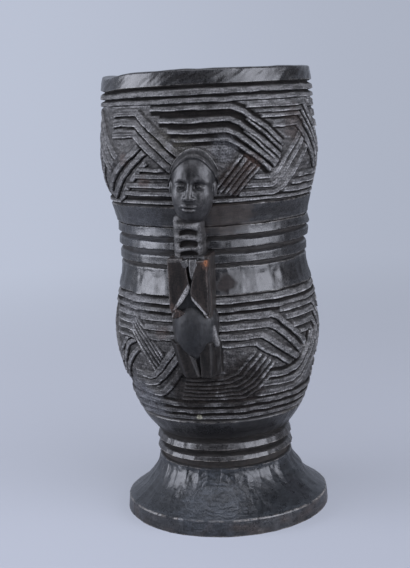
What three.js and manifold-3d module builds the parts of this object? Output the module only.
// A carved wooden drinking cup: two bellies above a flared foot, bands of interlaced
// strands round both bellies, and a standing figure in high relief on the front.
// Millimetres, +Z up. The origin is the middle of the foot's flat underside and the
// figure faces -Y. The solids meet at the bottoms of the carved grooves.

import * as THREE from 'three';
import { mergeVertices } from 'three/addons/utils/BufferGeometryUtils.js';
import Module from 'manifold-3d';

const wasm = await Module();
wasm.setup();

// Driving dimensions of the whole cup. The gap parts neighbouring solids, and the lean is
// how far the hand-carved axis has moved aside by mid height.
const cupHeight = 200;
const topLean = 1.7;
const seamGap = 0.3;
const facets = 36;
const grooveBevel = 0.6;

// Longest steps between the rings of points of each kind of surface.
const insideStep = 12;
const bandSurfaceStep = 4;
const flareStep = 3.1;
const dishStep = 1;

// Hollow: it is open at the rim and closes in a rounded bottom.
const wallThickness = 6.2;
const cavityFloor = 46;
const cavityCornerRadius = 14;

// Radius over the ridge tops, from the ankle to the rim: [height, radius].
const wallStations = [
    [39, 30.6], [45, 34.9], [50, 38.0], [60, 42.1], [72, 45.4], [84, 47.0], [96, 46.1],
    [105, 44.2], [114, 42.5], [125, 42.2], [135, 42.9], [145, 45.4], [155, 48.0],
    [164, 49.0], [174, 48.5], [186, 47.8], [cupHeight, 46.2],
];

// Heights of the carved divisions, each at the bottom of a groove.
const footTop = 25.2;
const ankleGrooveTop = 28.4;
const collarGroove = 32.8;
const collarTop = 39;
const lowerDrumBottom = 49.5;
const lowerDrumTop = 105.4;
const waistRibGrooves = [118.8, 125.2, 130.7, 135.3];
const upperDrumBottom = 144.7;
const rimRingGrooves = [186.2, 189.4, 193.2];

// Foot and collar.
const footRadius = 46.3;
const footEdgeHeight = 6.8;
const flareCurve = 1.55;
const ankleRadius = 30.8;
const ankleGrooveRadius = 29.3;
const lowerCollarRadius = 31.2;
const upperCollarRadius = 31.0;

// Carved relief: strands and rings stand on a background that is cut below the wall's
// surface. A band's foot is sunk into the background, its strands are parted by shallow
// grooves, and its margin to the next band is a part of its strands' spacing. The steps
// are how finely the background (millimetres) and the bands (degrees) follow the wall.
const reliefDepth = 1.4;
const strandSink = 0.8;
const strandGroove = 1;
const bandMargin = 0.7;
const backgroundStep = 10;
const bandStep = 14;
const ringWidth = 2.2;
const boundaryRidgeHeight = 145.5;
const boundaryRidgeWidth = 1.0;
const lowerRingHeights = [51.2, 54.3, 57.5];
const shoulderRingHeights = [100.6, 103.5];

// Interlace. A unit is a crest band, a run of strands along the top that bends down, and
// a valley band, a run along the bottom that bends up under its own crest and over the
// crest before. Bends are in degrees round the cup from the figure, and fall and rise are
// in millimetres per degree. Strands are counted from the lowest, whose bend is given, and
// the bends of the others follow a mitre. The unit behind the figure has no crest.
const upperInterlace = {
    crestHeights: [174.6, 179.2, 183.8],
    valleyHeights: [148.4, 151.9, 155.4],
    mitre: 1.9,
    units: [
        { crest: -31.5, fall: 0.7, valley: -48.5, rise: 0.56 },
        { crest: 22, fall: 0.68, valley: 22.5, rise: 0.78 },
        { crest: 68, fall: 0.9, valley: 51.5, rise: 0.95 },
        { crest: 112, fall: 0.75, valley: 96, rise: 0.72 },
        { crest: 156, fall: 0.7, valley: 142, rise: 0.78 },
        { crest: 201, fall: 0.78, valley: 188, rise: 0.74 },
        { crest: 246, fall: 0.72, valley: 232, rise: 0.7 },
        { crest: 288, fall: 0.82, valley: 274, rise: 0.76 },
    ],
};
const lowerInterlace = {
    crestHeights: [87.8, 92, 96.2],
    valleyHeights: [61.4, 65.4, 69.4],
    mitre: 2.6,
    units: [
        { crest: -43, fall: 1.35, valley: -64, rise: 0.92 },
        { crest: null, valley: -26, rise: 0.92 },
        { crest: 37, fall: 0.62, valley: 24, rise: 0.7 },
        { crest: 75, fall: 0.8, valley: 62, rise: 1.15 },
        { crest: 121, fall: 0.7, valley: 105, rise: 0.8 },
        { crest: 165, fall: 0.78, valley: 150, rise: 0.74 },
        { crest: 209, fall: 0.72, valley: 194, rise: 0.8 },
        { crest: 249, fall: 0.8, valley: 238, rise: 0.76 },
    ],
};
const figureHalfAngle = 15;

// Figure: heights, widths, and distances in front of the cup's axis. Its pieces start
// inside the wall at figureRoot and are cut off just clear of the wall's surface.
const chinHeight = 139;
const crownHeight = 169.4;
const hairlineHeight = 161;
const headWidth = 17.6;
const faceFront = 57.4;
const headTilt = 8;
const neckWidth = 12;
const neckFront = 52.5;
const neckRingHeights = [127.4, 131.2, 135];
const shoulderHeight = 125;
const elbowHeight = 101.6;
const armFront = 57;
const armBack = 50.4;
const torsoWidth = 15.4;
const hipHeight = 98.4;
const crotchHeight = 87;
const hipWidth = 16.8;
const hipFront = 57.2;
const soleHeight = 72.6;
const kneeHeight = 81;
const legWidth = 8.1;
const legFront = 54.6;
const standOff = 0.3;
const figureRoot = 36;
const fullness = 0.7;

const cup = new THREE.Group();

// Materials.
const agedWood = (colour, roughness) =>
    new THREE.MeshStandardMaterial({ color: colour, roughness, metalness: 0 });
const polishedWood = agedWood(0x1e1d20, 0.36);
const carvedWood = agedWood(0x1b1918, 0.5);
const figureWood = agedWood(0x1f1b1a, 0.45);

// Smooth curve through [height, radius] stations.
function smoothProfile(stations) {
    const curve = new THREE.SplineCurve(stations.map(([z, r]) => new THREE.Vector2(r, z)));
    const samples = curve.getPoints(stations.length * 12);
    return (z) => {
        const above = samples.findIndex((point) => point.y >= z);
        if (above === -1) return samples.at(-1).x;
        if (above === 0) return samples[0].x;
        const low = samples[above - 1];
        const high = samples[above];
        return THREE.MathUtils.mapLinear(z, low.y, high.y, low.x, high.x);
    };
}

const wallRadius = smoothProfile(wallStations);

// Inside of the cup: it follows the wall and closes in a rounded bottom.
function cavityRadius(z) {
    const followsWall = wallRadius(z) - wallThickness;
    const run = cavityCornerRadius - (z - cavityFloor);
    if (run <= 0) return followsWall;
    return followsWall - cavityCornerRadius + Math.sqrt(cavityCornerRadius ** 2 - run ** 2);
}

// The cup's axis leans a little to one side above the foot.
function lean(geometry) {
    const position = geometry.getAttribute('position');
    for (let i = 0; i < position.count; i++) {
        const shift = -topLean * THREE.MathUtils.smoothstep(position.getZ(i), 0, cupHeight / 2);
        position.setX(i, position.getX(i) + shift);
    }
    return geometry;
}

function toSolid(geometry) {
    const bare = geometry.index ? geometry.toNonIndexed() : geometry.clone();
    for (const name of Object.keys(bare.attributes)) {
        if (name !== 'position') bare.deleteAttribute(name);
    }
    const merged = mergeVertices(bare, 1e-4);
    return new wasm.Manifold(new wasm.Mesh({
        numProp: 3,
        vertProperties: new Float32Array(merged.getAttribute('position').array),
        triVerts: new Uint32Array(merged.index.array),
    }));
}

function toGeometry(solid) {
    const mesh = solid.getMesh();
    const geometry = new THREE.BufferGeometry();
    geometry.setAttribute('position', new THREE.BufferAttribute(mesh.vertProperties, 3));
    geometry.setIndex(new THREE.BufferAttribute(mesh.triVerts, 1));
    return geometry;
}

function addPiece(name, geometry, material) {
    const mesh = new THREE.Mesh(lean(geometry), material);
    mesh.name = name;
    cup.add(mesh);
}

// A closed outline of [radius, height] points turned round the Z axis.
function turned(outline) {
    const points = outline.map(([r, z]) => new THREE.Vector2(r, z));
    if (points[0].x > 0) points.push(points[0].clone());
    return new THREE.LatheGeometry(points, facets).rotateX(Math.PI / 2);
}

// Heights from low to high in even steps no longer than `step`.
function heightsBetween(low, high, step) {
    const count = Math.max(1, Math.ceil((high - low) / step));
    return Array.from({ length: count + 1 }, (_, i) => low + (high - low) * i / count);
}

// A section of the hollow wall: `outer` is its outside, from low to high.
function wallSection(outer) {
    const low = outer[0][1];
    const high = outer.at(-1)[1];
    const inside = heightsBetween(low, high, insideStep).reverse().map((z) => [cavityRadius(z), z]);
    return turned([...outer, ...inside]);
}

// Outside of one ridge: a bulge between two groove bottoms.
function ridge(low, high) {
    const rise = (high - low) * 0.2;
    return [
        [wallRadius(low) - reliefDepth, low],
        [wallRadius(low + rise), low + rise],
        [wallRadius(high - rise), high - rise],
        [wallRadius(high) - reliefDepth, high],
    ];
}

// A ring between two groove bottoms, with the gap to its neighbours taken off.
const ringSection = (low, high) => wallSection(ridge(low + seamGap / 2, high - seamGap / 2));

// A plain band of the wall between two groove bottoms.
function plainSection(low, high) {
    const bottom = low + seamGap / 2;
    const top = high - seamGap / 2;
    const surface = heightsBetween(bottom + grooveBevel, top - grooveBevel, bandSurfaceStep);
    return wallSection([
        [wallRadius(bottom) - reliefDepth, bottom],
        ...surface.map((z) => [wallRadius(z), z]),
        [wallRadius(top) - reliefDepth, top],
    ]);
}

// Foot: an upright edge under a concave flare, with the ankle groove on top.
function footGeometry() {
    const flare = heightsBetween(footEdgeHeight, footTop, flareStep).map((z) => {
        const inward = 1 - (z - footEdgeHeight) / (footTop - footEdgeHeight);
        return [ankleRadius + (footRadius - ankleRadius) * inward ** flareCurve, z];
    });
    const top = ankleGrooveTop - seamGap;
    return turned([
        [0, 0], [footRadius, 0], ...flare,
        [ankleGrooveRadius, footTop + grooveBevel], [ankleGrooveRadius, top], [0, top],
    ]);
}

// A solid collar ring with a rounded edge.
function collarRing(low, high, radius) {
    const rise = (high - low) / 4;
    return turned([
        [0, low], [ankleGrooveRadius, low], [radius, low + rise],
        [radius - rise / 4, high - rise], [ankleGrooveRadius, high], [0, high],
    ]);
}

// Bottom of the cup, with the start of the hollow dished into its top.
function cupBottom(low, high) {
    const outside = heightsBetween(low, high, bandSurfaceStep).map((z) => [wallRadius(z), z]);
    const dish = heightsBetween(cavityFloor, high, dishStep).reverse()
        .map((z) => [cavityRadius(z), z]);
    return turned([[0, low], ...outside, ...dish, [0, cavityFloor]]);
}

// A belly of the cup: its background is cut back, and rings stand on it.
function drumGeometry(low, high, rings) {
    const outer = [[wallRadius(low) - reliefDepth, low + seamGap / 2]];
    for (const { height, width } of rings) {
        const foot = width / 2;
        fillBackground(outer, height - foot);
        outer.push([wallRadius(height) - reliefDepth, height - foot]);
        outer.push([wallRadius(height), height - foot / 2], [wallRadius(height), height + foot / 2]);
        outer.push([wallRadius(height) - reliefDepth, height + foot]);
    }
    fillBackground(outer, high - seamGap / 2);
    outer.push([wallRadius(high) - reliefDepth, high - seamGap / 2]);
    return wallSection(outer);
}

// Carries a drum's background outline up to a height, where there is room for it.
function fillBackground(outer, high) {
    const low = outer.at(-1)[1];
    if (high - low < backgroundStep) return;
    for (const z of heightsBetween(low, high, backgroundStep).slice(1, -1)) {
        outer.push([wallRadius(z) - reliefDepth, z]);
    }
}

// Point on the wall at an angle from the figure, a height and a height over the surface.
function onWall(angle, z, over) {
    const r = wallRadius(z) + over;
    const turn = THREE.MathUtils.degToRad(angle);
    return new THREE.Vector3(r * Math.sin(turn), -r * Math.cos(turn), z);
}

// A closed prism from rings of corners, one ring after another. `outline` is the flat
// shape of one ring, which its ends are filled in by.
function prismSolid(corners, outline) {
    const ringSize = outline.length;
    const last = corners.length - ringSize;
    const index = [];
    for (let ring = 0; ring < last; ring += ringSize) {
        for (let i = 0; i < ringSize; i++) {
            const a = ring + i;
            const b = ring + (i + 1) % ringSize;
            index.push(a, b, a + ringSize, b, b + ringSize, a + ringSize);
        }
    }
    const flat = outline.map(([x, y]) => new THREE.Vector2(x, y));
    const outward = THREE.ShapeUtils.isClockWise(flat) ? -1 : 1;
    for (const [a, b, c] of THREE.ShapeUtils.triangulateShape(flat, [])) {
        const [second, third] = outward > 0 ? [c, b] : [b, c];
        index.push(a, second, third, last + a, last + third, last + second);
    }
    const geometry = new THREE.BufferGeometry().setFromPoints(corners);
    geometry.setIndex(index);
    return toSolid(geometry);
}

// A band of raised strands. `pathAt` gives the [angle, height] corners of strand k, where
// k may lie between two strands. Half widths are parts of the strands' spacing.
function bandSolid(pathAt, strandCount) {
    const topHalfWidth = 0.28;
    const footHalfWidth = 0.42;
    const foot = -reliefDepth - strandSink;
    const section = [[strandCount - 1 + footHalfWidth, foot]];
    for (let k = strandCount - 1; k >= 0; k--) {
        section.push([k + topHalfWidth, 0], [k - topHalfWidth, 0]);
        if (k > 0) section.push([k - 0.5, -strandGroove]);
    }
    section.push([-footHalfWidth, foot]);
    const middle = pathAt((strandCount - 1) / 2);
    const counts = middle.slice(1).map(([angle], i) =>
        Math.max(1, Math.round((angle - middle[i][0]) / bandStep)));
    const corners = counts.flatMap((count, leg) => {
        const first = leg === 0 ? 0 : 1;
        return Array.from({ length: count + 1 - first }, (_, i) => {
            const t = (i + first) / count;
            return section.map(([k, over]) => {
                const [from, to] = pathAt(k).slice(leg, leg + 2);
                const angle = THREE.MathUtils.lerp(from[0], to[0], t);
                return onWall(angle, THREE.MathUtils.lerp(from[1], to[1], t), over);
            });
        }).flat();
    });
    return prismSolid(corners, section);
}

// Unit `i` of an interlace, counting on round the cup.
function unitAt(units, i) {
    const count = units.length;
    const unit = units[(i + count) % count];
    const turn = 360 * Math.floor(i / count);
    const crest = unit.crest === null ? null : unit.crest + turn;
    return { ...unit, crest, valley: unit.valley + turn };
}

// A slanting line, through `height` at `bend` and rising by `slope` for each degree:
// the angle where it comes to a height, and the angle where two of them meet.
const angleAt = (line, height) => line.bend + (height - line.height) / line.slope;
const meeting = (a, b) =>
    (b.height - b.slope * b.bend - a.height + a.slope * a.bend) / (a.slope - b.slope);

// Solids of all the bands of an interlace. Each band ends where another covers it.
function interlaceBands({ crestHeights, valleyHeights, mitre, units }) {
    const heightOf = (heights, k) => heights[0] + k * (heights[1] - heights[0]);
    const crestLine = (unit, k) => ({
        height: heightOf(crestHeights, k), bend: unit.crest + k * mitre, slope: -unit.fall,
    });
    const valleyLine = (unit, k) => ({
        height: heightOf(valleyHeights, k), bend: unit.valley - k * mitre, slope: unit.rise,
    });
    const below = -bandMargin;
    const aboveCrest = crestHeights.length - 1 + bandMargin;
    const aboveValley = valleyHeights.length - 1 + bandMargin;

    // Corners of a strand that starts along one band's edge and goes under another's.
    const route = (own, start, cover) => {
        let end = -figureHalfAngle;
        if (cover) end = Math.min(meeting(own, cover), angleAt(own, cover.height));
        const endHeight = own.height + own.slope * (end - own.bend);
        return [[start, own.height], [own.bend, own.height], [end, endHeight]];
    };

    return units.flatMap((_, i) => {
        const unit = unitAt(units, i);
        const next = unitAt(units, i + 1);
        const before = unitAt(units, i - 1);
        const valley = bandSolid((k) => {
            const own = valleyLine(unit, k);
            const cover = unit.crest === null ? null : crestLine(unit, below);
            return route(own, angleAt(valleyLine(before, below), own.height), cover);
        }, valleyHeights.length);
        if (unit.crest === null) return [valley];
        const crestBefore = before.crest === null ? unitAt(units, i - 2) : before;
        const crest = bandSolid((k) => {
            const own = crestLine(unit, k);
            const start = angleAt(crestLine(crestBefore, aboveCrest), own.height);
            return route(own, start, valleyLine(next, aboveValley));
        }, crestHeights.length);
        return [valley, crest];
    });
}

// A drum with its interlaced bands standing on it.
function carvedDrum(low, high, rings, interlace) {
    const drum = toSolid(drumGeometry(low, high, rings));
    return toGeometry(wasm.Manifold.union([drum, ...interlaceBands(interlace)]));
}

// The wall as a solid body, to cut the backs of the figure's pieces to its surface.
function wallEnvelope() {
    const heights = heightsBetween(soleHeight - 8, crownHeight + 8, 4);
    const surface = heights.map((z) => [wallRadius(z) + standOff, z]);
    return toSolid(turned([[0, heights[0]], ...surface, [0, heights.at(-1)]]));
}

const envelope = wallEnvelope();
const onTheWall = (geometry) => toGeometry(toSolid(geometry).subtract(envelope));

// A rounded form through stations of width and front at each height; its flat back lies
// inside the wall, where it is cut off.
function lofted(stations, centre = 0) {
    const steps = 14;
    const half = Array.from({ length: steps + 1 }, (_, i) => {
        const turn = Math.PI * i / steps;
        const across = Math.sign(Math.cos(turn)) * Math.abs(Math.cos(turn)) ** fullness;
        return [-across / 2, -(Math.sin(turn) ** fullness)];
    });
    const corners = stations.flatMap(({ z, width, front }) => half.map(([across, out]) =>
        new THREE.Vector3(centre + across * width, out * (front - figureRoot) - figureRoot, z)));
    return toGeometry(prismSolid(corners, half));
}

// Head: a tapered oval with a wedge nose, cut level under the chin.
function headGeometry() {
    const height = crownHeight - chinHeight;
    const face = lofted([
        { z: chinHeight, width: headWidth * 0.5, front: faceFront - 0.6 },
        { z: chinHeight + height * 0.14, width: headWidth * 0.8, front: faceFront + 0.4 },
        { z: chinHeight + height * 0.36, width: headWidth * 0.96, front: faceFront },
        { z: chinHeight + height * 0.58, width: headWidth, front: faceFront - 1.4 },
        { z: hairlineHeight, width: headWidth * 0.97, front: faceFront - 3 },
    ]);
    const nose = new THREE.ConeGeometry(2.6, height * 0.27, 4).rotateX(Math.PI / 2)
        .translate(0, -faceFront + 0.2, chinHeight + height * 0.41);
    return toGeometry(toSolid(face).add(toSolid(nose)));
}

// Hair: a cap that stands a little proud of the face.
function hairGeometry() {
    const rise = crownHeight - hairlineHeight;
    return lofted([
        { z: hairlineHeight + seamGap, width: headWidth * 1.04, front: faceFront - 2 },
        { z: hairlineHeight + rise * 0.45, width: headWidth * 0.95, front: faceFront - 4 },
        { z: hairlineHeight + rise * 0.8, width: headWidth * 0.72, front: faceFront - 6 },
        { z: crownHeight, width: headWidth * 0.36, front: faceFront - 8 },
    ]);
}

// Tilts a piece of the head about the chin.
function tiltHead(geometry) {
    return geometry.translate(0, 0, -chinHeight)
        .rotateY(THREE.MathUtils.degToRad(headTilt))
        .translate(0, 0, chinHeight);
}

// Neck: a post with three rings.
function neckGeometry() {
    const stations = [{ z: shoulderHeight + seamGap, width: neckWidth * 0.9, front: neckFront - 1.4 }];
    for (const z of neckRingHeights) {
        stations.push({ z: z - 0.9, width: neckWidth * 1.05, front: neckFront });
        stations.push({ z: z + 0.9, width: neckWidth * 1.05, front: neckFront });
        stations.push({ z: z + 1.9, width: neckWidth * 0.9, front: neckFront - 1.4 });
    }
    return lofted(stations);
}

// One arm, bent with the hand up at the chest: a flat block on the front of the body.
function armGeometry(side) {
    const halfWidth = torsoWidth / 2 + 0.8;
    const front = new THREE.Shape();
    front.moveTo(halfWidth, elbowHeight + 3.6);
    front.lineTo(halfWidth, shoulderHeight - 2.4);
    front.quadraticCurveTo(halfWidth, shoulderHeight, halfWidth - 2.4, shoulderHeight);
    front.lineTo(2.6, shoulderHeight - 0.6);
    front.lineTo(1.4, shoulderHeight - 7);
    front.lineTo(0.3, shoulderHeight - 12.6);
    front.lineTo(halfWidth - 2.6, elbowHeight);
    front.quadraticCurveTo(halfWidth, elbowHeight, halfWidth, elbowHeight + 3.6);
    const block = new THREE.ExtrudeGeometry(front, {
        depth: armFront - armBack, bevelEnabled: false, curveSegments: 4,
    });
    block.rotateX(Math.PI / 2).translate(0, -armBack, 0);
    if (side < 0) block.rotateZ(Math.PI).translate(0, -armFront - armBack, 0);
    return block;
}

// Legs: short and bent at the knee, with the foot drawn back to the wall.
function legGeometry(side) {
    const centre = side * (legWidth / 2 + seamGap / 2);
    return lofted([
        { z: soleHeight, width: legWidth * 0.75, front: legFront - 5.5 },
        { z: soleHeight + 3, width: legWidth * 0.85, front: legFront - 3 },
        { z: kneeHeight, width: legWidth * 0.95, front: legFront },
        { z: crotchHeight - seamGap, width: legWidth, front: legFront - 0.4 },
    ], centre);
}

// Assembly, from the foot up.
addPiece('foot', footGeometry(), polishedWood);
addPiece('collar_ring_lower', collarRing(ankleGrooveTop, collarGroove, lowerCollarRadius), polishedWood);
addPiece('collar_ring_upper',
    collarRing(collarGroove + seamGap, collarTop, upperCollarRadius), polishedWood);
addPiece('cup_bottom',
    cupBottom(collarTop + seamGap, lowerDrumBottom - seamGap / 2), polishedWood);

const asRing = (height) => ({ height, width: ringWidth });
addPiece('lower_belly',
    carvedDrum(lowerDrumBottom, lowerDrumTop,
        [...lowerRingHeights, ...shoulderRingHeights].map(asRing), lowerInterlace),
    carvedWood);
addPiece('waist_band', plainSection(lowerDrumTop, waistRibGrooves[0]), polishedWood);
['lower', 'middle', 'upper'].forEach((place, i) => {
    addPiece(`waist_rib_${place}`, ringSection(waistRibGrooves[i], waistRibGrooves[i + 1]), polishedWood);
});
addPiece('shoulder_band', plainSection(waistRibGrooves.at(-1), upperDrumBottom), polishedWood);
addPiece('upper_belly',
    carvedDrum(upperDrumBottom, rimRingGrooves[0],
        [{ height: boundaryRidgeHeight, width: boundaryRidgeWidth }], upperInterlace),
    carvedWood);
['lower', 'upper'].forEach((place, i) => {
    addPiece(`rim_ring_${place}`, ringSection(rimRingGrooves[i], rimRingGrooves[i + 1]), carvedWood);
});
addPiece('rim_band', plainSection(rimRingGrooves.at(-1), cupHeight + seamGap / 2), polishedWood);

addPiece('figure_head', onTheWall(tiltHead(headGeometry())), figureWood);
addPiece('figure_hair', onTheWall(tiltHead(hairGeometry())), figureWood);
addPiece('figure_neck', onTheWall(neckGeometry()), figureWood);
addPiece('figure_torso', onTheWall(lofted([
    { z: hipHeight + seamGap, width: torsoWidth, front: armBack - seamGap },
    { z: shoulderHeight - seamGap, width: torsoWidth, front: armBack - seamGap },
])), figureWood);
addPiece('figure_arm_right', armGeometry(-1), figureWood);
addPiece('figure_arm_left', armGeometry(1), figureWood);
addPiece('figure_hips', onTheWall(lofted([
    { z: crotchHeight, width: hipWidth, front: hipFront - 2.4 },
    { z: (crotchHeight + hipHeight) / 2, width: hipWidth, front: hipFront },
    { z: hipHeight, width: torsoWidth, front: hipFront - 1.6 },
])), figureWood);
addPiece('figure_leg_right', onTheWall(legGeometry(-1)), figureWood);
addPiece('figure_leg_left', onTheWall(legGeometry(1)), figureWood);

export default cup;
